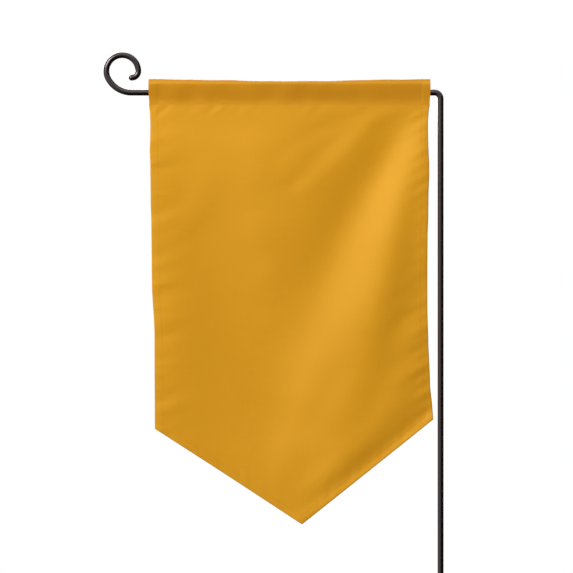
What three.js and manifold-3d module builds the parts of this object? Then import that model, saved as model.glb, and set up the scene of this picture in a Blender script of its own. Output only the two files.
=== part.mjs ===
// Garden flag with a pointed lower edge, on a step-in steel rod stand with a scroll arm.
// Millimetres, +Z up. The origin is on the upright's axis at the ground line. The arm runs
// along -X, and the front of the flag faces -Y.
import * as THREE from "three";
import Module from "manifold-3d";
import { mergeVertices } from "three/addons/utils/BufferGeometryUtils.js";

// Upper rod: one round bar bent into scroll, arm, corner and upright
const ROD_D = 6.35;
const ARM_HEIGHT = 750;
const CORNER_INNER_R = 3.3;
const SCROLL_BENDS = [
  { radius: 28, turn: 62.5 },
  { radius: 17, turn: 207.5 },
  { radius: 7, turn: 90 },
];
const SCROLL_TO_FLAG = 18.6;

// Connector sleeve: a tube crimped at its middle, with a rod end resting on each side of the crimp
const SLEEVE_MIDDLE = 196;
const SLEEVE_LENGTH = 60;
const SLEEVE_WALL = 1.3;
const SLEEVE_CHAMFER = 0.5;
const CRIMP_DEPTH = 0.9;
const CRIMP_HALF = 1.8;
const CRIMP_FLAT = 0.6;
const ROD_IN_SLEEVE_CLEARANCE = 0.3;
const ROD_END_GAP = 0.3;
const WELD_GAP = 0.3;

// Step bar and prongs
const BAR_LENGTH = 112;
const BAR_WIDTH = 14;
const BAR_THICKNESS = 4;
const PRONG_SPACING = 92;
const PRONG_LENGTH = 120;
const PRONG_POINT = 22;
const PRONG_TIP_R = 0.9;
// The bar's length is meshed in three equal spans, and the middle one lies between the prongs
const BAR_SPANS = 3;

// Flag: pole pocket, panel and hems
const FLAG_WIDTH = 299.3;
const FLAG_TO_UPRIGHT = 11.3;
const POCKET_ABOVE_ROD = 14;
const POCKET_BELOW_ROD = 13;
const POCKET_OVERHANG = 1;
const POCKET_CLOTH = 1;
const POCKET_EDGE_HALF = 1.1;
const POCKET_CLEARANCE = 0.35;
const POCKET_BULGE_REACH = 13;
const POCKET_FOLD = 1.4;
const POCKET_SEAM_DEPTH = 3;
const SIDE_DROP_LEFT = 345;
const SIDE_DROP_RIGHT = 335;
const TIP_DROP = 446.9;
const TIP_ASIDE = 8.6;
const PANEL_CLOTH = 1;
const HEM_WIDTH = 9;
const HEM_CLOTH = 1;
const CLOTH_GAP = 0.6;
const MITRE_GAP = 0.4;
const STRIP_TOP = 2.2;
const STITCH_FROM_EDGE = 7.5;
const THREAD = 0.6;
const SEAM_THREAD_RISE = 1.8;

// The seam lets the panel swing: both edges stay outside the circle that the other one sweeps
const SWING_EDGE = 0.15;
const SWING_GAP = 0.1;

// How the panel hangs: the sides draw in, the lower corners drift to the right
const LEFT_DRIFT = 6.8;
const RIGHT_DRIFT = 2.5;
const RIGHT_WAIST = 5;
const SEAM_FADE = 50;
const THINNEST_FOLD = 30;
const FOLD_FADE = 0.4;
// Soft folds. Each runs along a bowed line between two points, given as the distance across from
// the panel's left edge and the distance down from the seam, and stands forward by its rise.
const FOLDS = [
  { from: [296, -39], to: [150, 488], bow: 29, width: [8, 88], rise: 11.6 },
  { from: [290, 8], to: [182, 206], bow: -14, width: [30, 32], rise: -4.9 },
  { from: [280, 27], to: [211, 399], bow: 25, width: [15, 27], rise: -2.9 },
  { from: [345, 278], to: [36, 508], bow: 46, width: [8, 30], rise: 3.8 },
  { from: [156, -64], to: [126, 138], bow: -11, width: [138, 37], rise: 3.2 },
  { from: [-28, -13], to: [10, 341], bow: 14, width: [50, 49], rise: 7.7 },
  { from: [184, 196], to: [122, 356], bow: -11, width: [97, 24], rise: -2.9 },
];
// The panel leans back by this much a millimetre down, so that its weight hangs under the seam
const LEAN = 0.0147;

// Mesh fineness
const ROD_SIDES = 16;
const CORNER_STEPS = 8;
const SCROLL_STEP_DEGREES = 9;
const PANEL_COLUMNS = 30;
const PANEL_ROWS = 32;
const STRIP_ROWS = 28;
const POCKET_POINTS = 14;

const ROD_R = ROD_D / 2;
const FLAG_LEFT = -FLAG_TO_UPRIGHT - FLAG_WIDTH;
const TIP_FROM_LEFT = FLAG_WIDTH / 2 + TIP_ASIDE;
const SEAM_HEIGHT = ARM_HEIGHT - POCKET_BELOW_ROD;
const UPRIGHT_FOOT = SLEEVE_MIDDLE + CRIMP_HALF + ROD_END_GAP;
const LOWER_ROD_TOP = SLEEVE_MIDDLE - CRIMP_HALF - ROD_END_GAP;

const wasm = await Module();
wasm.setup();

const steel = { color: 0x16120f, roughness: 0.42, metalness: 0.3 };
const cloth = { color: 0xd79a29, roughness: 0.85, metalness: 0 };
const thread = { color: 0xc98d22, roughness: 0.7, metalness: 0 };

function piece(name, geometry, look) {
  const mesh = new THREE.Mesh(geometry, new THREE.MeshStandardMaterial(look));
  mesh.name = name;
  return mesh;
}

// ---- Joining solids

function toManifold(geometry) {
  const bare = geometry.clone();
  bare.deleteAttribute("normal");
  bare.deleteAttribute("uv");
  const merged = mergeVertices(bare, 1e-4);
  return new wasm.Manifold(new wasm.Mesh({
    numProp: 3,
    vertProperties: new Float32Array(merged.attributes.position.array),
    triVerts: new Uint32Array(merged.index.array),
  }));
}

function toGeometry(solid) {
  const mesh = solid.getMesh();
  const geometry = new THREE.BufferGeometry();
  geometry.setAttribute("position", new THREE.BufferAttribute(mesh.vertProperties, 3));
  geometry.setIndex(new THREE.BufferAttribute(mesh.triVerts, 1));
  return geometry;
}

// ---- Bent rod

function circlePoints(radius, sides) {
  const points = [];
  for (let i = 0; i < sides; i += 1) {
    const angle = (2 * Math.PI * i) / sides;
    points.push(new THREE.Vector2(radius * Math.cos(angle), radius * Math.sin(angle)));
  }
  return points;
}

// A flat centreline in the XZ plane of straight and curved legs, each tangent to the last.
// A leg takes only the steps that it needs, so a straight is one step long.
class BentLine extends THREE.Curve {
  constructor(start, headingDegrees) {
    super();
    this.at = start.clone();
    this.heading = THREE.MathUtils.degToRad(headingDegrees);
    this.stations = [];
  }

  straight(length) {
    const end = this.at.clone();
    end.x += length * Math.cos(this.heading);
    end.y += length * Math.sin(this.heading);
    this.stations.push({ leg: new THREE.LineCurve(this.at, end), from: 0, to: 1 });
    this.at = end;
    return this;
  }

  // A positive turn is anticlockwise seen from the front
  bend(radius, turnDegrees, steps) {
    const turn = THREE.MathUtils.degToRad(turnDegrees);
    const side = Math.sign(turn);
    const out = this.heading - (side * Math.PI) / 2;
    const centre = this.at.clone();
    centre.x -= radius * Math.cos(out);
    centre.y -= radius * Math.sin(out);
    const leg = new THREE.ArcCurve(centre.x, centre.y, radius, out, out + turn, side < 0);
    for (let i = 0; i < steps; i += 1) {
      this.stations.push({ leg, from: i / steps, to: (i + 1) / steps });
    }
    this.at = leg.getPoint(1);
    this.heading += turn;
    return this;
  }

  getUtoTmapping(share) {
    return share;
  }

  getPoint(share, target = new THREE.Vector3()) {
    const place = THREE.MathUtils.clamp(share, 0, 1) * this.stations.length;
    const index = Math.min(Math.floor(place), this.stations.length - 1);
    const { leg, from, to } = this.stations[index];
    const flat = leg.getPoint(from + (to - from) * (place - index));
    return target.set(flat.x, 0, flat.y);
  }
}

function bentRod(line) {
  const section = new THREE.Shape(circlePoints(ROD_R, ROD_SIDES));
  const bar = new THREE.ExtrudeGeometry(section, {
    steps: line.stations.length,
    extrudePath: line,
    bevelEnabled: false,
  });
  const end = new THREE.SphereGeometry(ROD_R, ROD_SIDES, ROD_SIDES / 2);
  end.translate(line.at.x, 0, line.at.y);
  return toGeometry(toManifold(bar).add(toManifold(end)));
}

function makeUpperRod() {
  const cornerR = CORNER_INNER_R + ROD_R;
  const line = new BentLine(new THREE.Vector2(0, UPRIGHT_FOOT), 90);
  line.straight(ARM_HEIGHT - cornerR - UPRIGHT_FOOT);
  line.bend(cornerR, 90, CORNER_STEPS);
  line.straight(-FLAG_LEFT + SCROLL_TO_FLAG - cornerR);
  for (const { radius, turn } of SCROLL_BENDS) {
    line.bend(radius, -turn, Math.round(turn / SCROLL_STEP_DEGREES));
  }
  return piece("upper_rod", bentRod(line), steel);
}

// ---- Sleeve, lower rod and stake

function lathe(points, sides) {
  const geometry = new THREE.LatheGeometry(points.map(([r, z]) => new THREE.Vector2(r, z)), sides);
  geometry.rotateX(Math.PI / 2);
  return geometry;
}

function makeSleeve() {
  const bore = ROD_R + ROD_IN_SLEEVE_CLEARANCE;
  const outer = bore + SLEEVE_WALL;
  const half = SLEEVE_LENGTH / 2;
  const profile = [
    [bore, -half],
    [outer - SLEEVE_CHAMFER, -half],
    [outer, SLEEVE_CHAMFER - half],
    [outer, -CRIMP_HALF],
    [outer - CRIMP_DEPTH, -CRIMP_FLAT],
    [outer - CRIMP_DEPTH, CRIMP_FLAT],
    [outer, CRIMP_HALF],
    [outer, half - SLEEVE_CHAMFER],
    [outer - SLEEVE_CHAMFER, half],
    [bore, half],
    [bore, CRIMP_HALF],
    [bore - CRIMP_DEPTH, CRIMP_FLAT],
    [bore - CRIMP_DEPTH, -CRIMP_FLAT],
    [bore, -CRIMP_HALF],
    [bore, -half],
  ];
  const sleeve = piece("connector_sleeve", lathe(profile, ROD_SIDES), steel);
  sleeve.position.z = SLEEVE_MIDDLE;
  return sleeve;
}

function makeLowerRod() {
  const foot = BAR_THICKNESS + WELD_GAP;
  const length = LOWER_ROD_TOP - foot;
  const profile = [[0, 0], [ROD_R, 0], [ROD_R, length], [0, length]];
  const lowerRod = piece("lower_rod", lathe(profile, ROD_SIDES), steel);
  lowerRod.position.z = foot;
  return lowerRod;
}

function makeStepBar() {
  const bar = new THREE.BoxGeometry(BAR_LENGTH, BAR_WIDTH, BAR_THICKNESS, BAR_SPANS, 1, 1);
  const stepBar = piece("step_bar", bar, steel);
  stepBar.position.z = BAR_THICKNESS / 2;
  return stepBar;
}

function makeProng(name, x) {
  const profile = [
    [0, -PRONG_LENGTH],
    [PRONG_TIP_R, -PRONG_LENGTH],
    [ROD_R, PRONG_POINT - PRONG_LENGTH],
    [ROD_R, -WELD_GAP],
    [0, -WELD_GAP],
  ];
  const prong = piece(name, lathe(profile, ROD_SIDES), steel);
  prong.position.x = x;
  return prong;
}

// ---- Flag cloth, with z measured from the seam

function smooth(share) {
  return THREE.MathUtils.smoothstep(share, 0, 1);
}

// Each fold is a bell across its line. It comes up and dies away over a share of its own length
// before and after its two ends.
function foldRise(fold, across, down) {
  const share = (down - fold.from[1]) / (fold.to[1] - fold.from[1]);
  const near = THREE.MathUtils.clamp(share, -FOLD_FADE, 1 + FOLD_FADE);
  const bow = 4 * fold.bow * near * (1 - near);
  const middle = THREE.MathUtils.lerp(fold.from[0], fold.to[0], near) + bow;
  const width = Math.max(THREE.MathUtils.lerp(...fold.width, near), THINNEST_FOLD);
  const shown = smooth((share + FOLD_FADE) / (2 * FOLD_FADE))
    * smooth((1 + FOLD_FADE - share) / (2 * FOLD_FADE));
  return fold.rise * shown * Math.exp(-(((across - middle) / width) ** 2));
}

// How far behind the seam the cloth hangs at a place on the flat-cut panel
function drape(x, z) {
  let forward = LEAN * z;
  for (const fold of FOLDS) {
    forward += foldRise(fold, x - FLAG_LEFT, -z);
  }
  return -forward * smooth(-z / SEAM_FADE);
}

// The panel's flat-cut outline
const CORNERS = [
  new THREE.Vector2(FLAG_LEFT, -SWING_EDGE),
  new THREE.Vector2(FLAG_LEFT, -SIDE_DROP_LEFT),
  new THREE.Vector2(FLAG_LEFT + TIP_FROM_LEFT, -TIP_DROP),
  new THREE.Vector2(FLAG_LEFT + FLAG_WIDTH, -SIDE_DROP_RIGHT),
  new THREE.Vector2(FLAG_LEFT + FLAG_WIDTH, -SWING_EDGE),
];
const EDGES = { side_left: 0, bottom_left: 1, bottom_right: 2, side_right: 3, top: 4 };

// The corners of the outline moved in by a distance. The top edge comes down by the same amount
// whatever the distance, so that hems and stitches clear the pocket when the panel swings.
function insetCorners(distance) {
  const lines = CORNERS.map((corner, i) => {
    const run = CORNERS[(i + 1) % CORNERS.length].clone().sub(corner).normalize();
    const inward = new THREE.Vector2(-run.y, run.x);
    const moved = i === EDGES.top ? STRIP_TOP : distance;
    return { point: corner.clone().addScaledVector(inward, moved), run };
  });
  return lines.map((line, i) => {
    const before = lines[(i + lines.length - 1) % lines.length];
    const step = line.point.clone().sub(before.point).cross(line.run) / before.run.cross(line.run);
    return before.point.clone().addScaledVector(before.run, step);
  });
}

// The panel's columns run straight down from the seam to the pointed lower edge, one of them
// to the tip itself
const TIP_SHARE = Math.round((PANEL_COLUMNS * TIP_FROM_LEFT) / FLAG_WIDTH) / PANEL_COLUMNS;

function panelPlace(u, v) {
  const [, left, tip, right] = CORNERS;
  const corner = u < TIP_SHARE ? left : right;
  const share = u < TIP_SHARE ? 1 - u / TIP_SHARE : (u - TIP_SHARE) / (1 - TIP_SHARE);
  const low = tip.clone().lerp(corner, share);
  return new THREE.Vector2(low.x, THREE.MathUtils.lerp(low.y, -SWING_EDGE, v));
}

// The drape on the panel's own cells, so that hems and stitches lie along them
function cellDrape(x, z) {
  const [, left, tip, right] = CORNERS;
  const corner = x < tip.x ? left : right;
  const share = (x - tip.x) / (corner.x - tip.x);
  const low = THREE.MathUtils.lerp(tip.y, corner.y, share);
  const u = x < tip.x ? TIP_SHARE * (1 - share) : TIP_SHARE + (1 - TIP_SHARE) * share;
  const column = THREE.MathUtils.clamp(u * PANEL_COLUMNS, 0, PANEL_COLUMNS);
  const row = THREE.MathUtils.clamp(((z - low) / (-SWING_EDGE - low)) * PANEL_ROWS, 0, PANEL_ROWS);
  const i = Math.min(Math.floor(column), PANEL_COLUMNS - 1);
  const j = Math.min(Math.floor(row), PANEL_ROWS - 1);
  const at = (across, up) => {
    const knot = panelPlace(across / PANEL_COLUMNS, up / PANEL_ROWS);
    return drape(knot.x, knot.y);
  };
  const lower = THREE.MathUtils.lerp(at(i, j), at(i + 1, j), column - i);
  const upper = THREE.MathUtils.lerp(at(i, j + 1), at(i + 1, j + 1), column - i);
  return THREE.MathUtils.lerp(lower, upper, row - j);
}

// Where a point of the flat-cut panel hangs: drawn aside, and forward or back with the folds
function hang(x, z, behind) {
  const drop = THREE.MathUtils.clamp(-z / SIDE_DROP_LEFT, 0, 1);
  const share = (x - FLAG_LEFT) / FLAG_WIDTH;
  const leftMove = LEFT_DRIFT * drop;
  const rightMove = RIGHT_DRIFT * drop - RIGHT_WAIST * Math.sin(Math.PI * drop);
  const aside = THREE.MathUtils.lerp(leftMove, rightMove, share);
  return [x + aside, cellDrape(x, z) + behind, z];
}

// A closed sheet of cloth: a flat box, its faces cut into cells, laid where place(u, v) says.
// u runs across and v up, both from 0 to 1. near and far are its two faces, from front to back.
function clothSheet(place, across, up, near, far) {
  const sheet = new THREE.BoxGeometry(1, 1, 1, across, 1, up);
  const position = sheet.attributes.position;
  for (let i = 0; i < position.count; i += 1) {
    const flat = place(position.getX(i) + 0.5, position.getZ(i) + 0.5);
    const behind = THREE.MathUtils.lerp(near, far, position.getY(i) + 0.5);
    position.setXYZ(i, ...hang(flat.x, flat.y, behind));
  }
  sheet.computeVertexNormals();
  return sheet;
}

// A strip along one edge of the outline, between two distances in from it, mitred at the corners
function stripPlace(edge, from, to) {
  const outer = insetCorners(from);
  const inner = insetCorners(to);
  const next = (edge + 1) % CORNERS.length;
  const mitre = MITRE_GAP / outer[edge].distanceTo(outer[next]);
  return (u, v) => {
    const share = THREE.MathUtils.lerp(1 - mitre, mitre, v);
    const a = outer[edge].clone().lerp(outer[next], share);
    const b = inner[edge].clone().lerp(inner[next], share);
    return a.lerp(b, u);
  };
}

function makeHem(name, edge) {
  const near = PANEL_CLOTH / 2 + CLOTH_GAP;
  const place = stripPlace(edge, 0, HEM_WIDTH);
  return piece(name, clothSheet(place, 2, STRIP_ROWS, near, near + HEM_CLOTH), cloth);
}

function makeStitch(name, edge) {
  const far = -PANEL_CLOTH / 2 - CLOTH_GAP;
  const place = stripPlace(edge, STITCH_FROM_EDGE, STITCH_FROM_EDGE + THREAD);
  return piece(name, clothSheet(place, 1, STRIP_ROWS, far - THREAD, far), thread);
}

// Half the pocket's thickness at a height above the seam: it swells round the arm
function pocketHalf(z) {
  const swell = ROD_R + POCKET_CLEARANCE + POCKET_CLOTH - POCKET_EDGE_HALF;
  const off = THREE.MathUtils.clamp((z - POCKET_BELOW_ROD) / POCKET_BULGE_REACH, -1, 1);
  return POCKET_EDGE_HALF + swell * Math.cos((off * Math.PI) / 2) ** 2;
}

// A closed outline with the pocket's swell, between two heights, thinner by inset on each face
function pocketOutline(bottom, top, inset) {
  const front = [];
  const back = [];
  for (let i = 0; i <= POCKET_POINTS; i += 1) {
    const z = THREE.MathUtils.lerp(bottom, top, i / POCKET_POINTS);
    const half = pocketHalf(z) - inset;
    front.unshift(new THREE.Vector2(-half, z));
    back.push(new THREE.Vector2(half, z));
  }
  return back.concat(front);
}

// An outline in the YZ plane carried along X
function alongX(shape, length) {
  const geometry = new THREE.ExtrudeGeometry(shape, { depth: length, bevelEnabled: false });
  geometry.rotateX(Math.PI / 2);
  geometry.rotateZ(Math.PI / 2);
  return geometry;
}

const POCKET_FOOT = Math.hypot(PANEL_CLOTH / 2, SWING_EDGE) + SWING_GAP;
const POCKET_TOP = POCKET_BELOW_ROD + POCKET_ABOVE_ROD;

function makePocket() {
  const shape = new THREE.Shape(pocketOutline(POCKET_FOOT, POCKET_TOP, 0));
  const inside = pocketOutline(POCKET_FOOT + POCKET_SEAM_DEPTH, POCKET_TOP - POCKET_FOLD, POCKET_CLOTH);
  shape.holes.push(new THREE.Path(inside.reverse()));
  const pocket = piece("pole_pocket", alongX(shape, FLAG_WIDTH + 2 * POCKET_OVERHANG), cloth);
  pocket.position.x = FLAG_LEFT - POCKET_OVERHANG;
  return pocket;
}

function makePocketThread() {
  const half = pocketHalf(SEAM_THREAD_RISE + THREAD) + CLOTH_GAP;
  const section = new THREE.Shape([
    new THREE.Vector2(-half - THREAD, SEAM_THREAD_RISE),
    new THREE.Vector2(-half, SEAM_THREAD_RISE),
    new THREE.Vector2(-half, SEAM_THREAD_RISE + THREAD),
    new THREE.Vector2(-half - THREAD, SEAM_THREAD_RISE + THREAD),
  ]);
  const seam = piece("pocket_seam_thread", alongX(section, FLAG_WIDTH), thread);
  seam.position.x = FLAG_LEFT;
  return seam;
}

function makeFlag() {
  const flag = new THREE.Group();
  flag.position.z = SEAM_HEIGHT;
  const sheet = clothSheet(panelPlace, PANEL_COLUMNS, PANEL_ROWS, -PANEL_CLOTH / 2, PANEL_CLOTH / 2);
  flag.add(makePocket(), makePocketThread(), piece("flag_panel", sheet, cloth));
  for (const side of ["left", "right"]) {
    flag.add(makeHem(`side_hem_${side}`, EDGES[`side_${side}`]));
    flag.add(makeHem(`bottom_hem_${side}`, EDGES[`bottom_${side}`]));
    flag.add(makeStitch(`side_stitch_${side}`, EDGES[`side_${side}`]));
    flag.add(makeStitch(`bottom_stitch_${side}`, EDGES[`bottom_${side}`]));
  }
  return flag;
}

function makeStand() {
  const stand = new THREE.Group();
  stand.add(makeUpperRod(), makeSleeve(), makeLowerRod(), makeStepBar());
  stand.add(makeProng("prong_left", -PRONG_SPACING / 2), makeProng("prong_right", PRONG_SPACING / 2));
  return stand;
}

const group = new THREE.Group();
group.add(makeStand(), makeFlag());

export default group;
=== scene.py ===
import bpy
import bmesh
import numpy as np
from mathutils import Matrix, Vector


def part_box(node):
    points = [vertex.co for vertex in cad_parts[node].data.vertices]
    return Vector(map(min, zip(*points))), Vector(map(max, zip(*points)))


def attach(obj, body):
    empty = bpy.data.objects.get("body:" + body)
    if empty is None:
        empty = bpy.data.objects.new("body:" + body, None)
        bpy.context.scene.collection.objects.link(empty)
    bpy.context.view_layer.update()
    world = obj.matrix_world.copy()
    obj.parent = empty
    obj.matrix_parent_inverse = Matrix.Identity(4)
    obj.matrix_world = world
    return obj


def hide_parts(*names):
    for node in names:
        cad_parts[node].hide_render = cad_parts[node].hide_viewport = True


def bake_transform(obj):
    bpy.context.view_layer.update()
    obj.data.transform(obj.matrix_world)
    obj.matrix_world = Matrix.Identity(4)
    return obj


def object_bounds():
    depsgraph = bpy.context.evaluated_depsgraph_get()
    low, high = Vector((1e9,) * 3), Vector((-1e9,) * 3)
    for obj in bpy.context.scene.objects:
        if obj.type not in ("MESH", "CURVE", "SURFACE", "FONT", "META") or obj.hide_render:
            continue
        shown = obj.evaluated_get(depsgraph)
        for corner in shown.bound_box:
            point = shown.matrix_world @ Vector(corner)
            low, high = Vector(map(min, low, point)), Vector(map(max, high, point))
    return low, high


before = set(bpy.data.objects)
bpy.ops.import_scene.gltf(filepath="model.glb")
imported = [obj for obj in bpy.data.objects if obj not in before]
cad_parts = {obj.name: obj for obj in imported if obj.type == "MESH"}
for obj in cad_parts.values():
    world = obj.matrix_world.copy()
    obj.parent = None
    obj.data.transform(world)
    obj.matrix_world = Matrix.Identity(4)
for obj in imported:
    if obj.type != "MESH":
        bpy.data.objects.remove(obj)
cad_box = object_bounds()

# ---- Prongs, step bar and lower rod -------------------------------------------------------
# The stake that is pushed into the ground: two pointed prongs and a short rod of mild steel
# bar, welded to a flat bar that takes the foot. The welds leave a small fillet at each joint,
# and the whole stake is powder coated black after welding.


class Quantity:
    """A number that varies over a surface. Arithmetic on it adds Math nodes to its tree."""

    def __init__(self, tree, socket):
        self.tree = tree
        self.socket = socket

    def math(self, operation, *others):
        node = self.tree.nodes.new("ShaderNodeMath")
        node.operation = operation
        for place, value in enumerate((self, *others)):
            plug(self.tree, value, node.inputs[place])
        return Quantity(self.tree, node.outputs[0])

    def backwards(self, operation, other):
        node = self.tree.nodes.new("ShaderNodeMath")
        node.operation = operation
        node.inputs[0].default_value = other
        plug(self.tree, self, node.inputs[1])
        return Quantity(self.tree, node.outputs[0])

    def __add__(self, other):
        return self.math("ADD", other)

    def __radd__(self, other):
        return self.math("ADD", other)

    def __sub__(self, other):
        return self.math("SUBTRACT", other)

    def __rsub__(self, other):
        return self.backwards("SUBTRACT", other)

    def __mul__(self, other):
        return self.math("MULTIPLY", other)

    def __rmul__(self, other):
        return self.math("MULTIPLY", other)

    def step(self, low, high):
        """0 below low, 1 above high, and a smooth rise between them."""
        node = self.tree.nodes.new("ShaderNodeMapRange")
        node.interpolation_type = "SMOOTHSTEP"
        plug(self.tree, self, node.inputs["Value"])
        node.inputs["From Min"].default_value = low
        node.inputs["From Max"].default_value = high
        return Quantity(self.tree, node.outputs["Result"])


def plug(tree, value, socket):
    """A socket takes a link from a Quantity, or else a plain value."""
    if isinstance(value, Quantity):
        tree.links.new(value.socket, socket)
    else:
        socket.default_value = value


class Finish:
    """A material whose nodes are added one at a time, round one Principled shader."""

    def __init__(self, name):
        self.material = bpy.data.materials.new(name)
        self.material.use_nodes = True
        self.tree = self.material.node_tree
        self.shader = self.tree.nodes["Principled BSDF"]

    def add(self, kind, settings, inputs, output=0):
        """One node: its type, then its settings, then the values or links of its sockets."""
        node = self.tree.nodes.new(kind)
        for name, value in settings.items():
            setattr(node, name, value)
        for name, value in inputs.items():
            plug(self.tree, value, node.inputs[name])
        return Quantity(self.tree, node.outputs[output])

    def place(self):
        """The point on the object, in metres."""
        return self.add("ShaderNodeTexCoord", {}, {}, "Object")

    def noise(self, at, scale, detail=2.0, roughness=0.5):
        """Cloudy noise from 0 to 1."""
        settings = {"noise_dimensions": "3D"}
        inputs = {"Vector": at, "Scale": scale, "Detail": detail, "Roughness": roughness}
        return self.add("ShaderNodeTexNoise", settings, inputs, "Fac")

    def stretched(self, at, scale):
        """The same place with its three directions scaled."""
        settings = {"operation": "MULTIPLY"}
        return self.add("ShaderNodeVectorMath", settings, {0: at, 1: scale}, "Vector")

    def split(self, at):
        """The three parts of a place."""
        return [self.add("ShaderNodeSeparateXYZ", {}, {"Vector": at}, part) for part in "XYZ"]

    def blend_colours(self, share, first, second):
        """The first colour where share is 0 and the second where it is 1."""
        settings = {"data_type": "RGBA"}
        inputs = {0: share, 6: first, 7: second}
        return self.add("ShaderNodeMix", settings, inputs, 2)

    def relief(self, height, strength):
        """Small height in metres as a bump."""
        inputs = {"Height": height, "Strength": strength, "Distance": 1.0}
        return self.add("ShaderNodeBump", {}, inputs, "Normal")

    def set(self, **sockets):
        """Sockets of the shader, by their names with _ for a space."""
        for name, value in sockets.items():
            plug(self.tree, value, self.shader.inputs[name.replace("_", " ")])


def surface(name, points, rows_loop=False, flat=None):
    """A mesh on a grid of points, rows by columns by 3. The columns close on themselves, and so
    do the rows where they loop. Points that fall together at a pole become one. flat gives each
    point its place on the flat-cut cloth, in metres, and becomes the UV map of that name."""
    rows, columns = points.shape[:2]
    down = np.arange(rows if rows_loop else rows - 1)[:, None]
    across = np.arange(columns)[None, :]
    below = (down + 1) % rows
    beside = (across + 1) % columns
    corners = [down * columns + across, down * columns + beside]
    corners += [below * columns + beside, below * columns + across]
    faces = np.stack(np.broadcast_arrays(*corners), -1).reshape(-1, 4)
    return mesh_piece(name, points.reshape(-1, 3), faces, flat)


def mesh_piece(name, points, faces, flat=None):
    """An object at the origin from points and four-cornered faces, shaded smooth except across
    edges that turn by more than 38 degrees."""
    mesh = bpy.data.meshes.new(name)
    mesh.from_pydata(points.tolist(), [], faces.tolist())
    if flat is not None:
        layer = mesh.uv_layers.new(name="flat")
        layer.data.foreach_set("uv", flat.reshape(-1, 2)[faces.ravel()].ravel())
    shape = bmesh.new()
    shape.from_mesh(mesh)
    bmesh.ops.remove_doubles(shape, verts=shape.verts, dist=1e-7)
    shape.to_mesh(mesh)
    shape.free()
    mesh.polygons.foreach_set("use_smooth", np.ones(len(mesh.polygons), bool))
    mesh.set_sharp_from_angle(angle=np.radians(38))
    piece = bpy.data.objects.new(name, mesh)
    bpy.context.scene.collection.objects.link(piece)
    return piece


def turned(name, profile, centre_x=0.0, sides=64, rows_loop=False):
    """A turned shape: each row of the profile, a radius and a height, carried round a vertical
    axis at (centre_x, 0)."""
    turn = 2 * np.pi * np.arange(sides) / sides
    radius, height = np.asarray(profile, float).T
    x = centre_x + radius[:, None] * np.cos(turn)
    y = radius[:, None] * np.sin(turn)
    z = np.broadcast_to(height[:, None], x.shape)
    return surface(name, np.stack([x, y, z], -1), rows_loop=rows_loop)


def rounded(corners, radius, steps=5):
    """A profile through corners, each inner one replaced by a curve that starts and ends a
    radius away from it: (1-t)^2 of the first end, 2t(1-t) of the corner, t^2 of the other."""
    corners = np.asarray(corners, float)
    before, corner, after = corners[:-2], corners[1:-1], corners[2:]
    reach = []
    for other in (before, after):
        gap = other - corner
        length = np.linalg.norm(gap, axis=1, keepdims=True)
        reach.append(corner + gap / length * np.minimum(radius, 0.45 * length))
    t = np.linspace(0, 1, steps)[None, :, None]
    first, last = reach
    curve = (1 - t) ** 2 * first[:, None] + 2 * t * (1 - t) * corner[:, None]
    curve = (curve + t**2 * last[:, None]).reshape(-1, 2)
    return np.vstack([corners[:1], curve, corners[-1:]])


def powder_coat(name, worn_below=None):
    """Black powder coat: a fine orange peel, a thin uneven gloss and a little dust. Below the
    given height the points are rubbed through to grey steel."""
    coat = Finish(name)
    at = coat.place()
    peel = coat.noise(at, 850.0, 2.0)
    grain = coat.noise(at, 3200.0, 1.0)
    cloud = coat.noise(at, 22.0, 4.0, 0.6)
    dust = cloud.step(0.5, 0.8) * coat.noise(at, 420.0, 3.0, 0.7).step(0.35, 0.75)
    deep, dusty = (0.0040, 0.0022, 0.0023, 1), (0.011, 0.0085, 0.0080, 1)
    colour = coat.blend_colours(dust * 0.8, deep, dusty)
    rough = 0.24 + 0.08 * cloud + 0.05 * grain + 0.1 * dust
    bump = coat.relief(peel * 3e-5 + grain * 5e-6, 0.6)
    if worn_below is None:
        coat.set(Base_Color=colour, Roughness=rough)
    else:
        height = coat.split(at)[2]
        scratch = coat.noise(coat.stretched(at, (1.0, 1.0, 0.12)), 900.0, 3.0, 0.65)
        bare = (scratch + 0.25 * cloud).step(0.6, 0.66) * (1 - height.step(*worn_below))
        steel = (0.23, 0.21, 0.19, 1)
        coat.set(Base_Color=coat.blend_colours(bare, colour, steel))
        coat.set(Metallic=bare * 0.9, Roughness=rough + bare * 0.05)
    coat.set(Normal=bump, Specular_IOR_Level=0.4, Specular_Tint=(1.0, 0.72, 0.75, 1))
    coat.set(Coat_Weight=1.0, Coat_Roughness=0.12, Coat_Tint=(1.0, 0.9, 0.9, 1))
    return coat.material


def finish_piece(piece, material, body, *nodes, slot):
    """The piece takes its material, stands for its CAD nodes and rides on its body. A piece
    given no body is left unattached."""
    piece.data.materials.append(material)
    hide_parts(*nodes)
    if body is not None:
        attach(piece, body)


rod_radius = 0.003175
prong_tip_radius = 0.0008
prong_point = 0.022
weld_reach, weld_height = 0.0022, 0.0030
hollow_reach, hollow_height = 0.0005, 0.0012
weld_overlap = 0.0001
black_coat = powder_coat("black_powder_coat")
prong_coat = powder_coat("black_powder_coat_prongs", worn_below=(-0.118, -0.085))
bar_low, bar_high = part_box("step_bar")
for prong_node in ("prong_left", "prong_right"):
    prong_low, prong_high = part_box(prong_node)
    outline = [
        (0.0, prong_low.z),
        (prong_tip_radius, prong_low.z),
        (rod_radius, prong_low.z + prong_point),
        (rod_radius, -weld_height),
        (rod_radius + hollow_reach, -hollow_height),
        (rod_radius + weld_reach, weld_overlap),
        (0.0, weld_overlap),
    ]
    middle = (prong_low.x + prong_high.x) / 2
    prong_name = prong_node.replace("prong", "pointed_prong")
    prong = turned(prong_name, rounded(outline, prong_tip_radius), middle)
    finish_piece(prong, prong_coat, "stake", prong_node, slot="black_powder_coat")

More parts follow.
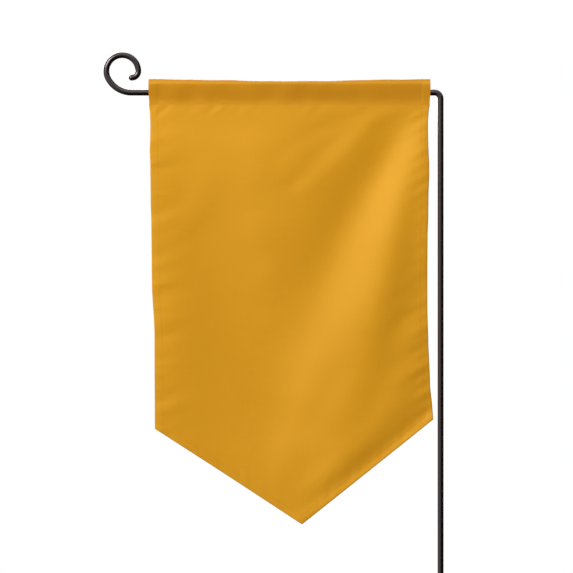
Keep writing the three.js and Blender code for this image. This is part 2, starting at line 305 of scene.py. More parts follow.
lower_rod_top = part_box("lower_rod")[1].z
bar_top = bar_high.z
outline = [
    (0.0, bar_top - weld_overlap),
    (rod_radius + weld_reach, bar_top - weld_overlap),
    (rod_radius + hollow_reach, bar_top + hollow_height),
    (rod_radius, bar_top + weld_height),
    (rod_radius, lower_rod_top),
    (0.0, lower_rod_top),
]
lower_bar = turned("stake_rod", rounded(outline, 0.0006))
finish_piece(lower_bar, black_coat, "stake", "lower_rod", slot="black_powder_coat")


def flat_bar(name, low, high, edge, sides=12, stations=40):
    """A flat bar along X: a rounded rectangle of half width a and half height b, whose corners
    are quarter circles of the edge radius. Near each end the section draws in along the same
    quarter circle, so the ends are rounded too."""
    half = (np.asarray(high) - np.asarray(low)) / 2
    centre = (np.asarray(high) + np.asarray(low)) / 2
    quarter = np.linspace(0, np.pi / 2, sides)
    turn = np.concatenate([quarter + k * np.pi / 2 for k in range(4)])
    side_y = np.repeat([1.0, -1.0, -1.0, 1.0], sides)
    side_z = np.repeat([1.0, 1.0, -1.0, -1.0], sides)
    rise = np.linspace(0, np.pi / 2, 8)
    draw_in = edge * (1 - np.sin(rise))
    ends = half[0] - edge + edge * np.cos(rise)
    inner = np.linspace(-1, 1, stations)[1:-1] * (half[0] - edge)
    x = np.concatenate([[-half[0]], -ends, inner, ends[::-1], [half[0]]])
    inset = np.concatenate([[0.0], draw_in, np.zeros(len(inner)), draw_in[::-1], [0.0]])
    cap = np.ones(len(x))
    cap[[0, -1]] = 0.0
    y = side_y * (half[1] - edge) + edge * np.cos(turn)
    z = side_z * (half[2] - edge) + edge * np.sin(turn)
    shrink_y = cap[:, None] * (y[None, :] - np.sign(y)[None, :] * inset[:, None])
    shrink_z = cap[:, None] * (z[None, :] - np.sign(z)[None, :] * inset[:, None])
    spread = np.broadcast_to(x[:, None], shrink_y.shape)
    return surface(name, centre + np.stack([spread, shrink_y, shrink_z], -1))


foot_bar = flat_bar("foot_bar", bar_low, bar_high, 0.0009)
finish_piece(foot_bar, black_coat, "stake", "step_bar", slot="black_powder_coat")

# ---- Connector sleeve ---------------------------------------------------------------------
# A short steel tube that joins the two halves of the upright. It is crimped at its middle, so
# that each rod pushed in from its end stops there. Its ends are faced and broken with a file.

bore_clearance = 0.0003
crimp_depth, crimp_flat = 0.0009, 0.0006
crimp_inside, crimp_outside = 0.0018, 0.0022
sleeve_low, sleeve_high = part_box("connector_sleeve")
sleeve_outer = sleeve_high.x
sleeve_bore = rod_radius + bore_clearance
sleeve_middle = (sleeve_low.z + sleeve_high.z) / 2
outline = np.array([
    (sleeve_bore, sleeve_low.z),
    (sleeve_outer, sleeve_low.z),
    (sleeve_outer, sleeve_middle - crimp_outside),
    (sleeve_outer - crimp_depth, sleeve_middle - crimp_flat),
    (sleeve_outer - crimp_depth, sleeve_middle + crimp_flat),
    (sleeve_outer, sleeve_middle + crimp_outside),
    (sleeve_outer, sleeve_high.z),
    (sleeve_bore, sleeve_high.z),
    (sleeve_bore, sleeve_middle + crimp_inside),
    (sleeve_bore - crimp_depth, sleeve_middle + crimp_flat),
    (sleeve_bore - crimp_depth, sleeve_middle - crimp_flat),
    (sleeve_bore, sleeve_middle - crimp_inside),
    (sleeve_bore, sleeve_low.z + 0.0001),
])
sleeve = turned("crimped_sleeve", rounded(outline, 0.0005), rows_loop=True)
finish_piece(sleeve, black_coat, "sleeve", "connector_sleeve", slot="black_powder_coat")

# ---- Upper rod ----------------------------------------------------------------------------
# One round steel bar bent cold into the upright, a tight corner, the level arm and the scroll
# that keeps the flag from sliding off. Its far end is rounded, and it is coated like the stake.


def bent_bar(name, start, legs, radius, sides=64):
    """A round bar in the plane y = 0. Each leg is a length, a turn in degrees and a number of
    steps. The heading changes evenly along a leg, and the place is the running sum of
    (cos heading, sin heading) times the step, each step taken at its middle heading and
    shortened to the chord. The foot is cut square, and the far end is a hemisphere."""
    lengths = np.concatenate([np.full(steps, length / steps) for length, turn, steps in legs])
    turns = np.concatenate([np.full(steps, turn / steps) for length, turn, steps in legs])
    turns = np.radians(turns)
    heading = np.concatenate([[np.pi / 2], np.pi / 2 + np.cumsum(turns)])
    middle = heading[:-1] + turns / 2
    chord = lengths * np.sinc(turns / (2 * np.pi))
    place = np.vstack([[0, 0], np.cumsum(chord[:, None] * np.stack(
        [np.cos(middle), np.sin(middle)], -1), axis=0)]) + start
    cap = np.linspace(0, np.pi / 2, 12)[1:]
    tip = place[-1] + radius * np.sin(cap)[:, None] * [np.cos(heading[-1]), np.sin(heading[-1])]
    place = np.vstack([place[:1], place[:1], place, tip])
    heading = np.concatenate([heading[:1], heading[:1], heading, np.full(len(cap), heading[-1])])
    size = np.full(len(place), radius)
    size[0] = 0.0
    size[1] = radius - 0.0003
    place[2] += 0.0003 * np.array([np.cos(heading[0]), np.sin(heading[0])])
    size[-len(cap):] = radius * np.cos(cap)
    around = 2 * np.pi * np.arange(sides) / sides
    wide = size[:, None] * np.cos(around)
    x = place[:, :1] + wide * np.sin(heading)[:, None]
    z = place[:, 1:] - wide * np.cos(heading)[:, None]
    y = size[:, None] * np.sin(around)
    return surface(name, np.stack([x, y, z], -1))


def arc(radius, degrees, steps):
    """A leg that bends along an arc, anticlockwise seen from the front when degrees is above 0."""
    return radius * np.radians(abs(degrees)), degrees, steps


arm_height = 0.750
corner_inner_radius = 0.0033
corner_radius = corner_inner_radius + rod_radius
flag_left = -0.3106
flag_to_scroll = 0.0186
upright_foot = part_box("upper_rod")[0].z
# The scroll's three arcs are the rounded result of a fitting program
rod_legs = [
    (arm_height - corner_radius - upright_foot, 0.0, 40),
    arc(corner_radius, 90.0, 24),
    (-flag_left + flag_to_scroll - corner_radius, 0.0, 30),
    arc(0.028, -62.5, 24),
    arc(0.017, -207.5, 72),
    arc(0.007, -90.0, 32),
]
rod = bent_bar("rod_with_scroll", (0.0, upright_foot), rod_legs, rod_radius)
finish_piece(rod, black_coat, "arm", "upper_rod", slot="black_powder_coat")

# ---- Flag panel ---------------------------------------------------------------------------
# A single ply of plain-woven polyester, cut to a point below. It hangs from the pocket seam in
# broad soft folds, and puckers along the stitching.

seam_height = 0.737
flag_width = 0.2993
left_drop, right_drop, tip_drop = 0.345, 0.335, 0.4469
tip_across = flag_width / 2 + 0.0086
cloth_thickness = 0.00045
hem_width = 0.009
stitch_line = 0.0078
edge_fold_radius = 0.0007
panel_lean = 0.0155
tip_lean = 0.0085
# One row a fold, in millimetres across from the left edge and down from the seam: its two
# ends, its bow to the right, its width at each end and how far it stands forward. The first
# fourteen rows are the rounded result of a fitting program, and the first and the fourteenth
# were then changed. The last four were set one by one.
folds = 0.001 * np.array([
    (294, -39, 150, 488, 29, 8, 88, 11.2),
    (290, 8, 182, 206, -14, 30, 32, -4.9),
    (278, -32, 200, 52, 8, 8, 23, 5.4),
    (284, -20, 167, 69, -11, 54, 21, -7.7),
    (280, 27, 211, 399, 25, 15, 27, -2.9),
    (265, 296, 195, 389, 9, 22, 20, 2.2),
    (345, 278, 36, 508, 46, 8, 30, 3.8),
    (156, -64, 126, 138, -11, 138, 37, 3.2),
    (-28, -13, 10, 341, 14, 50, 49, 7.7),
    (184, 196, 122, 356, -11, 97, 24, -2.9),
    (309, -17, 161, 75, -32, 21, 24, 4.4),
    (327, 137, 269, 238, 2, 14, 15, -1.0),
    (218, 199, 165, 309, -4, 52, 19, 3.2),
    (155, 330, 162, 400, 12, 40, 24, -3.0),
    (112, 45, 114, 85, 2, 17, 17, 0.9),
    (118, 118, 120, 150, -2, 17, 18, 0.7),
    (124, 172, 122, 204, 2, 16, 18, 0.5),
    (62, 60, 40, 130, 6, 20, 16, 0.9),
])


def ease(share):
    """3t^2 - 2t^3, with t held between 0 and 1."""
    t = np.clip(share, 0, 1)
    return t * t * (3 - 2 * t)


def ripple(along, pitch, seed):
    """Uneven waves about a pitch apart: five sines of near pitches, each with its own start and
    size, added and divided by the root of their number."""
    dice = np.random.default_rng(seed)
    pitches = pitch * dice.uniform(0.6, 1.7, 5)
    starts = dice.uniform(0, 2 * np.pi, 5)
    sizes = dice.uniform(0.6, 1.2, 5)
    waves = [a * np.sin(2 * np.pi * along / p + b) for p, b, a in zip(pitches, starts, sizes)]
    return sum(waves) / np.sqrt(5)


def fold_rise(across, down):
    """The folds added up. Each is its rise times exp(-(e/w)^2), where e is the distance from
    its bowed line and w its width there, and it eases in and out beyond its two ends."""
    total = np.zeros(np.broadcast(across, down).shape)
    for s0, d0, s1, d1, bow, w0, w1, rise in folds:
        t = (down - d0) / (d1 - d0)
        near = np.clip(t, -0.4, 1.4)
        line = s0 + (s1 - s0) * near + 4 * bow * near * (1 - near)
        width = np.maximum(w0 + (w1 - w0) * near, 0.004)
        shown = ease((t + 0.4) / 0.8) * ease((1.4 - t) / 0.8)
        total += rise * shown * np.exp(-(((across - line) / width) ** 2))
    return total


def lower_edge(across):
    """How far down the cut edge is: straight from each lower corner to the tip."""
    corners = [0.0, tip_across, flag_width]
    return np.interp(across, corners, [left_drop, tip_drop, right_drop])


def edge_gaps(across, down):
    """Distances in from the left, right, lower left and lower right edges."""
    left_run = np.hypot(tip_across, tip_drop - left_drop)
    right_run = np.hypot(flag_width - tip_across, tip_drop - right_drop)
    low_left = left_drop + (tip_drop - left_drop) * across / tip_across
    share = (across - tip_across) / (flag_width - tip_across)
    low_right = tip_drop + (right_drop - tip_drop) * share
    return (
        across,
        flag_width - across,
        (low_left - down) * tip_across / left_run,
        (low_right - down) * (flag_width - tip_across) / right_run,
    )


def seam_puckers(across, away):
    """Ridges across the pocket seam that die away from it: uneven waves times exp(-(d/w)^2),
    where d is the distance from the seam and the width w wanders along it. They are shallower
    right at the seam, and much deeper on the left, where the cloth was fed less evenly."""
    uneven = 0.65 + 0.35 * np.cos(np.pi * np.clip(across / flag_width, 0, 1))
    reach = 0.011 + 0.003 * ripple(across, 0.03, 11)
    size = 0.00030 * uneven * (1 - 0.6 * np.exp(-((away / 0.0025) ** 2)))
    size = size * (0.75 + 0.35 * ripple(across, 0.07, 12))
    return size * ripple(across + 1.0 * away, 0.019, 3) * np.exp(-((away / reach) ** 2))


def hem_puckers(across, down):
    """Small ridges across the stitching of the side and lower edges, and broader ones beside
    the two sides that slant up to the right. Each set is uneven waves times exp(-(e/w)^2),
    where e is the distance from the line it is centred on."""
    left, right, low_left, low_right = edge_gaps(across, down)
    total = 0.00013 * ripple(down, 0.013, 5) * np.exp(-(((left - stitch_line) / 0.009) ** 2))
    total = total * (0.7 + 0.5 * ripple(down, 0.08, 14))
    wave = ripple(down + 0.3 * left, 0.034, 15)
    total += 0.00030 * wave * np.exp(-(((left - 0.012) / 0.020) ** 2))
    wave = ripple(down - 0.5 * (right - stitch_line), 0.014, 6)
    total += 0.00022 * wave * np.exp(-(((right - stitch_line) / 0.012) ** 2))
    wave = ripple(down - 0.55 * right, 0.034, 16) * np.exp(-(((right - 0.014) / 0.024) ** 2))
    total += 0.00042 * wave * ease((down - 0.10) / 0.1)
    wave = ripple(across, 0.012, 7) * np.exp(-(((low_left - stitch_line) / 0.008) ** 2))
    total += 0.00012 * wave * ease((tip_across - across) / 0.012)
    wave = ripple(across, 0.012, 8) * np.exp(-(((low_right - stitch_line) / 0.008) ** 2))
    total += 0.00014 * wave * ease((across - tip_across) / 0.012)
    return total * ease(down / 0.01)


# How far the left and right edges stand to the right of where they were cut, in millimetres,
# at distances down in metres. Both follow a measuring program's readings, mostly 15 mm apart.
left_wander = np.array([
    (0.000, 0.3), (0.008, 1.2), (0.020, 1.8), (0.036, 1.7), (0.048, 1.2), (0.063, 1.8),
    (0.093, 2.2), (0.108, 2.3), (0.123, 2.9), (0.153, 3.2), (0.180, 3.4), (0.198, 3.7),
    (0.212, 4.5), (0.227, 5.6), (0.242, 6.2), (0.257, 6.2), (0.287, 6.2), (0.345, 6.4),
    (0.447, 6.6),
])
right_wander = np.array([
    (0.000, -0.7), (0.004, -1.3), (0.018, -2.4), (0.033, -2.4), (0.048, -2.0), (0.063, -1.2),
    (0.078, -1.2), (0.093, -1.9), (0.108, -2.1), (0.123, -2.2), (0.138, -2.9), (0.168, -3.0),
    (0.212, -3.0), (0.227, -2.8), (0.242, -2.1), (0.257, -1.8), (0.272, -1.0), (0.287, -0.3),
    (0.302, 0.2), (0.317, 2.0), (0.335, 3.4), (0.447, 3.0),
])


def hang(across, down):
    """Where a point of the flat-cut panel hangs. The edges draw in and wander as the cloth
    settles: across moves by a mix of the left edge's and the right edge's wander. The depth is
    the folds, less a slight lean, plus the puckers, with everything but the seam's own puckers
    faded out at the seam. The upper right edge stands a little forward, the cloth leans back
    more steeply towards the tip, and the lower right edge turns back."""
    share = across / flag_width
    left_move = 0.001 * np.interp(down, left_wander[:, 0], left_wander[:, 1])
    right_move = 0.001 * np.interp(down, right_wander[:, 0], right_wander[:, 1])
    x = flag_left + across + left_move + (right_move - left_move) * share
    forward = (fold_rise(across, down) - panel_lean * down) * ease(down / 0.05)
    forward += 0.0009 * (1 - ease(down / 0.03))
    stiff_edge = np.exp(-(((flag_width - across) / 0.009) ** 2)) * (1 - ease((down - 0.16) / 0.1))
    forward += 0.0010 * stiff_edge * ease(down / 0.02)
    forward -= tip_lean * ease((down - 0.36) / 0.15)
    low_right = edge_gaps(across, down)[3]
    forward -= 0.0010 * ease((0.021 - low_right) / 0.017)
    forward += hem_puckers(across, down) + seam_puckers(across, down)
    return np.stack(np.broadcast_arrays(x, -forward, seam_height - down), -1)


def edge_curl(across, down):
    """How far the cloth turns back where it folds round an edge: r - sqrt(r^2 - (r - e)^2) for
    a distance e from the edge below the fold radius r."""
    nearest = np.minimum.reduce(np.broadcast_arrays(*edge_gaps(across, down)))
    inside = np.clip(1 - nearest / edge_fold_radius, 0, 1)
    return edge_fold_radius * (1 - np.sqrt(1 - inside**2))


def both_faces(middle, thickness):
    """The front and back of a cloth whose middle surface is a grid: half the thickness along
    the unit normal, the cross product of the grid's two directions."""
    sideways = np.gradient(middle, axis=1)
    downward = np.gradient(middle, axis=0)
    normal = np.cross(downward, sideways)
    normal /= np.linalg.norm(normal, axis=-1, keepdims=True)
    return middle - normal * thickness / 2, middle + normal * thickness / 2


def cloth_sheet(name, first, second, flat):
    """A closed sheet: two faces on like grids, joined by a strip along each of the four edges."""
    rows, columns = first.shape[:2]
    count = rows * columns
    here = np.arange(count).reshape(rows, columns)
    a, b, c, d = here[:-1, :-1], here[:-1, 1:], here[1:, 1:], here[1:, :-1]
    front = np.stack([a, b, c, d], -1).reshape(-1, 4)
    edges = [here[0, ::-1], here[:, 0], here[-1, :], here[::-1, -1]]
    strips = [np.stack([e[:-1], e[1:], e[1:] + count, e[:-1] + count], -1) for e in edges]
    faces = np.vstack([front, front[:, ::-1] + count, *strips])
    points = np.vstack([first.reshape(-1, 3), second.reshape(-1, 3)])
    return mesh_piece(name, points, faces, np.vstack([flat.reshape(-1, 2)] * 2))


def spaced(length, fine, coarse, border):
    """Places from 0 to a length, fine steps apart within a border of each end and coarse
    between, with a few closer still right at the ends."""
    tight = np.array([0, 0.0001, 0.00025, 0.00045, 0.0007])
    edge = np.arange(tight[-1] + fine, border, fine)
    steps = int(round((length - 2 * border) / coarse))
    inner = np.linspace(border, length - border, steps + 1)
    start = np.concatenate([tight, edge])
    return np.concatenate([start, inner, length - start[::-1]])


def woven_cloth(name, painted_shade_share=1.0, painted_shade_to=(-0.009, 0.0065)):
    """Plain-woven polyester. Two sets of yarns pass over and under each other, a little uneven
    in thickness and colour. Fine creases lie along the stitched edges. Where the cloth lies two
    plies deep, a darker copy of its colour is painted in as shade, standing for the light that
    a single ply lets through from behind: painted_shade_share is how much of that painted shade
    shows, and painted_shade_to is where it fades out below the seam."""
    cloth = Finish(name)
    at = cloth.add("ShaderNodeUVMap", {"uv_map": "flat"}, {}, "UV")
    across, down, _ = cloth.split(at)
    pitch = 0.00042
    turn = np.pi / pitch
    over = (across * turn).math("SINE") * (down * turn).math("SINE") * 0.5 + 0.5
    warp = (across * (2 * turn)).math("COSINE") * 0.5 + 0.5
    weft = (down * (2 * turn)).math("COSINE") * 0.5 + 0.5
    weave = warp * over + weft * (1 - over)
    slub_down = cloth.noise(cloth.stretched(at, (1400.0, 45.0, 1.0)), 1.0, 3.0, 0.6)
    slub_across = cloth.noise(cloth.stretched(at, (45.0, 1400.0, 1.0)), 1.0, 3.0, 0.6)
    slub = (slub_down + slub_across) * 0.5
    mottle = cloth.noise(at, 14.0, 4.0, 0.55)
    crease = cloth.noise(cloth.stretched(at, (60.0, 95.0, 1.0)), 1.0, 5.0, 0.55)
    deep = (0.575, 0.224, 0.0006, 1)
    bright = (0.750, 0.323, 0.0012, 1)
    tone = 0.62 + (weave - 0.5) * 0.18 + (slub - 0.5) * 0.55 + (mottle - 0.5) * 0.35
    colour = cloth.blend_colours(tone, deep, bright)
    # A darker copy of the cloth's colours, painted in as shade.
    deep_painted_shade = (0.52, 0.185, 0.0004, 1)
    bright_painted_shade = (0.675, 0.267, 0.0008, 1)
    shaded = cloth.blend_colours(tone, deep_painted_shade, bright_painted_shade)
    # Painted shade: full over the pocket, fading out from 9 mm above the seam to 6.5 mm below it
    # along a ragged line, blotchy, and weaker within 7 mm of each end, most at the right, so the
    # ends read lighter.
    shade_fade_line = down + (crease - 0.5) * 0.003
    at_left, at_right = 1 - across.step(0.0070, 0.0088), across.step(0.2905, 0.2923)
    shade_patches = cloth.noise(cloth.stretched(at, (34.0, 60.0, 1.0)), 1.0, 2.0).step(0.25, 0.75)
    shade = painted_shade_share * (1 - shade_fade_line.step(*painted_shade_to)) * (0.80 + 0.30 * shade_patches)
    shade = shade * (1 - 0.15 * at_left - 0.45 * at_right)
    colour = cloth.blend_colours(shade, colour, shaded)
    height = weave * 4e-5 + slub * 5e-5 + crease * 2.2e-4
    rough = 0.56 + 0.12 * (slub - 0.5) + 0.06 * (1 - weave) - 0.08 * shade
    cloth.set(Base_Color=colour, Roughness=rough, Normal=cloth.relief(height, 0.7))
    cloth.set(Sheen_Weight=0.03, Sheen_Roughness=0.45, Sheen_Tint=(1.0, 0.75, 0.30, 1))
    cloth.set(Specular_IOR_Level=0.95, Specular_Tint=(1.0, 0.95, 0.30, 1))
    return cloth.material


# The pocket takes this material's painted shade in full, and the panel's top takes it fading out
# below the seam.
single_ply = woven_cloth("ochre_cloth")
panel_across = spaced(flag_width, 0.0011, 0.0022, 0.020)
panel_share = spaced(1.0, 0.0027, 0.0056, 0.040)
panel_down = panel_share[:, None] * lower_edge(panel_across)[None, :]
tucked = np.array([[-0.0012], [-0.0005]]) + 0 * panel_across
panel_down = np.vstack([tucked, panel_down])
panel_flat = np.stack(np.broadcast_arrays(panel_across[None, :], panel_down), -1)
panel_middle = hang(panel_across[None, :], panel_down)
panel_middle[..., 1] += edge_curl(panel_across[None, :], np.maximum(panel_down, 0))
panel_middle[..., 1] += 0.0006 * ease(-panel_down / 0.0005)
panel = cloth_sheet("hanging_panel", *both_faces(panel_middle, cloth_thickness), panel_flat)
finish_piece(panel, single_ply, None, "flag_panel", slot="ochre_cloth")
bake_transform(panel)

# ---- Pole pocket --------------------------------------------------------------------------
# The top of the same cloth, folded back over the arm and sewn down behind. The front ply leans
# out over the arm and turns over in a soft round fold that sags a little at mid span.

pocket_across = spaced(flag_width + 0.0006, 0.0011, 0.0019, 0.012) - 0.0003


def pocket_section(across):
    """The pocket's middle surface as rows up the front, over the fold and down the back. The
    front eases out to 6 mm at 22 mm above the seam, half an ellipse turns over the top, and
    the back comes in as a power of a cosine to just behind the seam. Towards the seam both
    ends draw in by 0.7 mm. Above it the front stands 0.3 mm proud at the ends, over the hems."""
    share = np.clip(across / flag_width, 0, 1)
    sag = 0.0021 * np.sin(np.pi * np.clip(share * 1.08 - 0.05, 0, 1)) ** 2
    top = 0.027 - sag + 0.0002 * ripple(across, 0.06, 31)
    shoulder, out, seam_out = 0.0220, 0.0059, 0.0009
    up = np.linspace(0, 1, 20)[:, None]
    soft = 0.00045 * ripple(across + 0.25 * up * shoulder, 0.034, 33) * np.sin(np.pi * up)
    front_y = -(seam_out + (out - seam_out) * ease(0.85 * up) / ease(0.85) + soft)
    front_z = np.broadcast_to(shoulder * up, front_y.shape)
    front_y = front_y - seam_puckers(across, shoulder * up) * np.exp(-((up / 0.25) ** 2))
    end_gap = np.minimum(across + 0.0003, flag_width + 0.0003 - across)
    front_y = front_y - 0.0003 * (1 - ease((end_gap - 0.0075) / 0.0015)) * ease(up / 0.1)
    over = np.linspace(0, np.pi, 22)[1:-1, None]
    over_y = -out * np.cos(over) + 0 * across
    over_z = shoulder + (top - shoulder) * np.sin(over)
    fall = np.linspace(0, 1, 22)[:, None]
    back_y = 0.0006 + (out - 0.0006) * np.cos(fall * np.pi / 2) ** 0.8 + 0.3 * soft[::-1][:1]
    back_y = back_y + 0 * across
    back_z = shoulder - (shoulder + 0.0020) * fall + 0 * across
    y = np.concatenate([front_y, over_y, back_y])
    z = np.concatenate([front_z + 0 * across, over_z, back_z])
    x = flag_left + across + 0.0007 * (1 - 2 * share) * (1 - ease(z / 0.016))
    return np.stack([x, y, z + seam_height], -1)


pocket_middle = pocket_section(pocket_across[None, :])
pocket_run = np.linalg.norm(np.diff(pocket_middle, axis=0), axis=-1)
pocket_run = np.vstack([np.zeros(len(pocket_across)), np.cumsum(pocket_run, axis=0)])
pocket_flat = np.stack([np.broadcast_to(pocket_across, pocket_run.shape), -pocket_run], -1)
pocket_faces = both_faces(pocket_middle[::-1], cloth_thickness)
pocket = cloth_sheet("folded_pocket", *pocket_faces, pocket_flat[::-1])
finish_piece(pocket, single_ply, "pocket", "pole_pocket", slot="ochre_cloth")

# ---- Hems ---------------------------------------------------------------------------------
# The side and lower edges are turned back twice and sewn down, which leaves a strip of three
# plies behind the panel, mitred at the corners.

outline_corners = np.array([
    (0.0, 0.0),
    (0.0, left_drop),
    (tip_across, tip_drop),
    (flag_width, right_drop),
    (flag_width, 0.0),
])


def inset_corners(distance):
    """The outline's corners moved in by a distance: where the shifted lines of the two edges
    at each corner cross. The top edge stays where it is."""
    run = np.roll(outline_corners, -1, axis=0) - outline_corners
    run /= np.linalg.norm(run, axis=1, keepdims=True)
    inward = np.stack([run[:, 1], -run[:, 0]], -1)
    moves = np.array([distance, distance, distance, distance, 0.0])[:, None]
    line = outline_corners + inward * moves
    before, before_run = np.roll(line, 1, axis=0), np.roll(run, 1, axis=0)
    gap = line - before
    cross = before_run[:, 0] * run[:, 1] - before_run[:, 1] * run[:, 0]
    step = (gap[:, 0] * run[:, 1] - gap[:, 1] * run[:, 0]) / cross
    return before + before_run * step[:, None]


def edge_run(edge, distance, share):
    """Points along one edge at a distance in from it, as rows of (across, down)."""
    corners = inset_corners(distance)
    return corners[edge] + (corners[(edge + 1) % 5] - corners[edge]) * share[:, None]


def hem_strip(name, edge, start, end, steps):
    """A hem: a flattened ring of cross section carried along its edge. Each point of the ring
    has a distance in from the edge and a depth behind the panel, on two half circles of the
    hem's half thickness joined by straights."""
    half = 0.00050
    turn = np.linspace(-np.pi / 2, np.pi / 2, 8)
    far = np.stack([hem_width - half + half * np.cos(turn), half * np.sin(turn)], -1)
    near = np.stack([0.0004 + half - half * np.cos(turn[::-1]), half * np.sin(turn[::-1])], -1)
    straight = np.linspace(0.15, 0.85, 6)[:, None]
    ring = np.vstack([far, far[-1] + (near[0] - far[-1]) * straight, near,
                      near[-1] + (far[0] - near[-1]) * straight])
    share = np.linspace(start, end, steps)
    plan = np.stack([edge_run(edge, inset, share) for inset in ring[:, 0]], 1)
    middle = hang(plan[..., 0], plan[..., 1])
    puff = 0.00012 * ripple(share * 0.3, 0.008, 40 + edge)[:, None]
    middle[..., 1] += 0.00075 + ring[:, 1] * (1 + puff / half) + cloth_thickness / 2
    caps = np.repeat(middle.mean(axis=1, keepdims=True)[[0, -1]], len(ring), axis=1)
    grid = np.concatenate([caps[:1], middle, caps[1:]])
    flat = np.concatenate([plan[:1], plan, plan[-1:]])
    return surface(name, grid, flat=flat)


# The hems take the darker painted shade at half strength all over.
hem_cloth = woven_cloth("ochre_cloth_hems", painted_shade_share=0.5, painted_shade_to=(0.5, 0.6))
hem_plan = [
    ("side_hem_left", 0, 0.003, 0.9995, 180),
    ("bottom_hem_left", 1, 0.0006, 0.9994, 110),
    ("bottom_hem_right", 2, 0.0006, 0.9994, 100),
    ("side_hem_right", 3, 0.0005, 0.997, 180),
]
for node, edge, start, end, steps in hem_plan:
    hem = hem_strip("turned_" + node, edge, start, end, steps)
    finish_piece(hem, hem_cloth, None, node, slot="ochre_cloth")
    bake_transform(hem)

# ---- Stitching ----------------------------------------------------------------------------
# Lockstitch in polyester thread, about eight stitches to 25 mm. Each stitch is a short length
# of twisted thread that comes up out of the cloth and goes down again.

stitch_pitch = 0.0031
thread_radius = 0.00019


def stitches(name, begins, finishes, place, behind):
    """A row of stitches on the front and one on the back. Each is a tube along the line from
    where it begins to where it finishes, radius r * sqrt(1 - t^4), and it stands off the cloth
    by r * (0.9 - 1.5 t^2), for t from -1 to 1 along it."""
    t = np.linspace(-1, 1, 7)
    around = 2 * np.pi * np.arange(6) / 6
    size = thread_radius * np.sqrt(np.clip(1 - t**4, 0, 1))
    mid = begins[:, None] + (finishes - begins)[:, None] * (t * 0.5 + 0.5)[None, :, None]
    run = finishes - begins
    run = run / np.linalg.norm(run, axis=1, keepdims=True)
    aside = np.stack([-run[:, 1], run[:, 0]], -1)
    plan = mid[:, :, None] + aside[:, None, None] * (size[:, None] * np.cos(around))[None, ..., None]
    lift = thread_radius * (0.9 - 1.5 * t**2)
    rows = []
    for sign, gap in ((-1, cloth_thickness / 2), (1, behind)):
        at = place(plan[..., 0], plan[..., 1])
        at[..., 1] += sign * (gap + lift[:, None] + size[:, None] * np.sin(around))
        rows.append(at if sign < 0 else at[:, :, ::-1])
    grid = np.concatenate(rows)
    count, stations, sides = grid.shape[:3]
    base = np.arange(count)[:, None, None] * stations * sides
    down = np.arange(stations - 1)[None, :, None] * sides
    across = np.arange(sides)[None, None, :]
    beside = (across + 1) % sides
    corners = [base + down + across, base + down + beside]
    corners += [base + down + sides + beside, base + down + sides + across]
    faces = np.stack(np.broadcast_arrays(*corners), -1).reshape(-1, 4)
    flat = np.stack(np.broadcast_arrays(t[None, :, None], around / 6, 0 * grid[..., 0]), -1)
    return mesh_piece(name, grid.reshape(-1, 3), faces, flat[..., :2])


def twisted_thread(name):
    """Polyester sewing thread: slanting plies round each stitch, and a slight change of tone
    from place to place."""
    thread = Finish(name)
    at = thread.add("ShaderNodeUVMap", {"uv_map": "flat"}, {}, "UV")
    along, around, _ = thread.split(at)
    plies = (along * 14.0 + around * 12.0).math("SINE") * 0.5 + 0.5
    tone = thread.noise(thread.place(), 60.0, 2.0)
    colour = thread.blend_colours(
        plies * 0.5 + tone * 0.5, (0.60, 0.25, 0.004, 1), (0.82, 0.38, 0.010, 1))
    thread.set(Base_Color=colour, Roughness=0.5 + 0.2 * tone)
    thread.set(Normal=thread.relief(plies * 3e-5, 0.6), Specular_IOR_Level=0.6)
    return thread.material


thread_finish = twisted_thread("ochre_thread")


def stitch_ends(first, last, seed):
    """Where each stitch of a straight row begins and finishes, with a slight wander."""
    length = np.linalg.norm(last - first)
    count = int(length / stitch_pitch)
    start = np.arange(count) / count
    dice = np.random.default_rng(seed)
    aside = np.array([first[1] - last[1], last[0] - first[0]]) / length
    wander = dice.normal(0, 0.00006, (2, count, 1)) * aside
    begins = first + (last - first) * (start + 0.10 / count)[:, None] + wander[0]
    finishes = first + (last - first) * (start + 0.86 / count)[:, None] + wander[1]
    return begins, finishes


stitch_plan = [
    ("side_stitch_left", 0, 0.004, 1.0),
    ("bottom_stitch_left", 1, 0.0, 1.0),
    ("bottom_stitch_right", 2, 0.0, 1.0),
    ("side_stitch_right", 3, 0.0, 0.996),
]
for node, edge, start, end in stitch_plan:
    first, last = edge_run(edge, stitch_line, np.array([start, end]))
    row = stitches("sewn_" + node, *stitch_ends(first, last, 50 + edge), hang, 0.0020)
    finish_piece(row, thread_finish, None, node, slot="ochre_thread")
    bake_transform(row)


def seam_place(across, up):
    """A point of the seam's front ply, a little way up from the panel's top edge."""
    y = -(0.0009 + 0.08 * up) - seam_puckers(across, up)
    return np.stack(np.broadcast_arrays(flag_left + across, y, seam_height + up), -1)


seam_first, seam_last = np.array([0.0004, 0.0012]), np.array([flag_width - 0.0004, 0.0012])
seam = stitches("sewn_pocket_seam", *stitch_ends(seam_first, seam_last, 60), seam_place, 0.0028)
finish_piece(seam, thread_finish, "pocket", "pocket_seam_thread", slot="ochre_thread")

panel_area = tip_across * (left_drop + tip_drop) / 2
panel_area += (flag_width - tip_across) * (right_drop + tip_drop) / 2

# ---- Studio -------------------------------------------------------------------------------
# A pale round floor that fades out into white surroundings, one large soft light from the upper
# left, a weak one from above and one from behind. Soft bright banks that only reflections see
# put narrow highlights on the black rods.

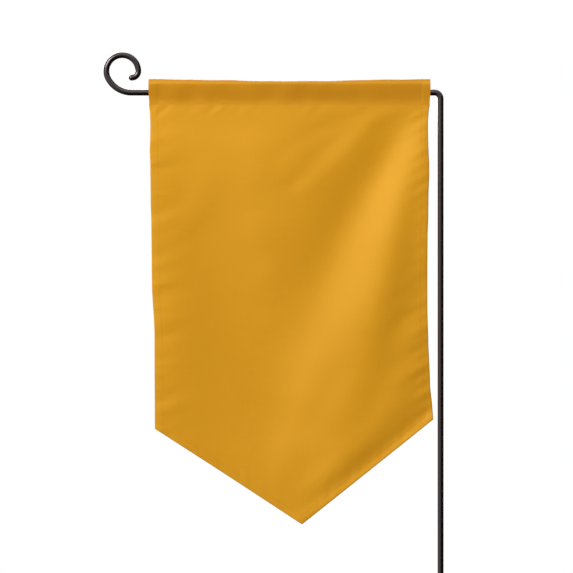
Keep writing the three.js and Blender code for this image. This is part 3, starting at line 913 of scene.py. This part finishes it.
floor_radius = 2.6
around_floor = 2 * np.pi * np.arange(96) / 96
rim = floor_radius * np.stack([np.cos(around_floor), np.sin(around_floor), 0 * around_floor], -1)
rings = np.array([0.0, 0.5, 1.0])[:, None, None] * rim
floor = surface("studio_floor", rings + np.array([0.0, 0.0, cad_box[0][2] - 0.0006]))
pale = Finish("studio_floor")
at = pale.place()
cloud = pale.noise(at, 3.0, 3.0)
pale.set(Base_Color=pale.blend_colours(cloud, (0.80, 0.80, 0.80, 1), (0.84, 0.84, 0.84, 1)))
level = pale.stretched(at, (1.0, 1.0, 0.0))
from_middle = pale.add("ShaderNodeVectorMath", {"operation": "LENGTH"}, {0: level}, "Value")
pale.set(Roughness=0.8 + 0.1 * cloud, Alpha=1 - from_middle.step(0.35, 1.9))
floor.data.materials.append(pale.material)
floor.visible_diffuse = False
floor.visible_glossy = False

world = bpy.data.worlds.new("white_studio")
world.use_nodes = True
bpy.context.scene.world = world
sky = world.node_tree
backdrop = sky.nodes["Background"]
backdrop.inputs["Color"].default_value = (1, 1, 1, 1)
backdrop.inputs["Strength"].default_value = 1.0
dim = sky.nodes.new("ShaderNodeBackground")
dim.inputs["Color"].default_value = (1, 1, 1, 1)
way = sky.nodes.new("ShaderNodeTexCoord")
parts = sky.nodes.new("ShaderNodeSeparateXYZ")
sky.links.new(way.outputs["Generated"], parts.inputs[0])
across_sky, back_sky, up_sky = [Quantity(sky, part) for part in parts.outputs]
even = 0.38 + 0.12 * up_sky.step(-0.1, 1.0) + 0.20 * (across_sky * -1.0).step(-0.1, 1.0)
even = even + 0.07 * (back_sky * -1.0).step(-0.2, 1.0)
left_bank = (across_sky * -0.85 + back_sky * -0.53).step(0.4, 1.0)
top_bank = (up_sky * 0.8 + back_sky * -0.6).step(0.4, 1.0)
back_bank = (back_sky * 0.8 + up_sky * 0.6).step(0.3, 1.0)
mirrored = 0.005 + 0.8 * left_bank + 1.15 * top_bank + 0.4 * back_bank
seen = sky.nodes.new("ShaderNodeLightPath")
glossy = Quantity(sky, seen.outputs["Is Glossy Ray"])
sky.links.new((even + (mirrored - even) * glossy).socket, dim.inputs["Strength"])
choose = sky.nodes.new("ShaderNodeMixShader")
sky.links.new(seen.outputs["Is Camera Ray"], choose.inputs["Fac"])
sky.links.new(dim.outputs[0], choose.inputs[1])
sky.links.new(backdrop.outputs[0], choose.inputs[2])
sky.links.new(choose.outputs[0], sky.nodes["World Output"].inputs["Surface"])


def soft_light(name, place, aim, width, height, power):
    """A flat lamp of a width and height in metres that faces the point it is aimed at."""
    lamp = bpy.data.lights.new(name, "AREA")
    lamp.shape = "RECTANGLE"
    lamp.size = width
    lamp.size_y = height
    lamp.energy = power
    holder = bpy.data.objects.new(name, lamp)
    bpy.context.scene.collection.objects.link(holder)
    away = Vector(place) - Vector(aim)
    holder.location = place
    holder.rotation_euler = away.to_track_quat("Z", "Y").to_euler()


flag_centre = (-0.16, 0.0, 0.53)
soft_light("key_light", (-1.70, -1.85, 1.75), flag_centre, 1.0, 1.0, 46.0)
soft_light("overhead_light", (-0.16, -0.9, 2.0), flag_centre, 1.3, 0.5, 1.2)
soft_light("back_light", (-0.9, 2.3, 1.6), flag_centre, 1.6, 1.6, 42.0)

camera = bpy.data.cameras.new("front_camera")
camera.lens = 200.0
camera.sensor_width = 36.0
viewer = bpy.data.objects.new("front_camera", camera)
viewer.location = (-0.1641, -3.39, 0.5435)
viewer.rotation_euler = (np.pi / 2, 0.0, 0.0)
bpy.context.scene.collection.objects.link(viewer)
bpy.context.scene.camera = viewer
bpy.context.scene.view_settings.view_transform = "Standard"
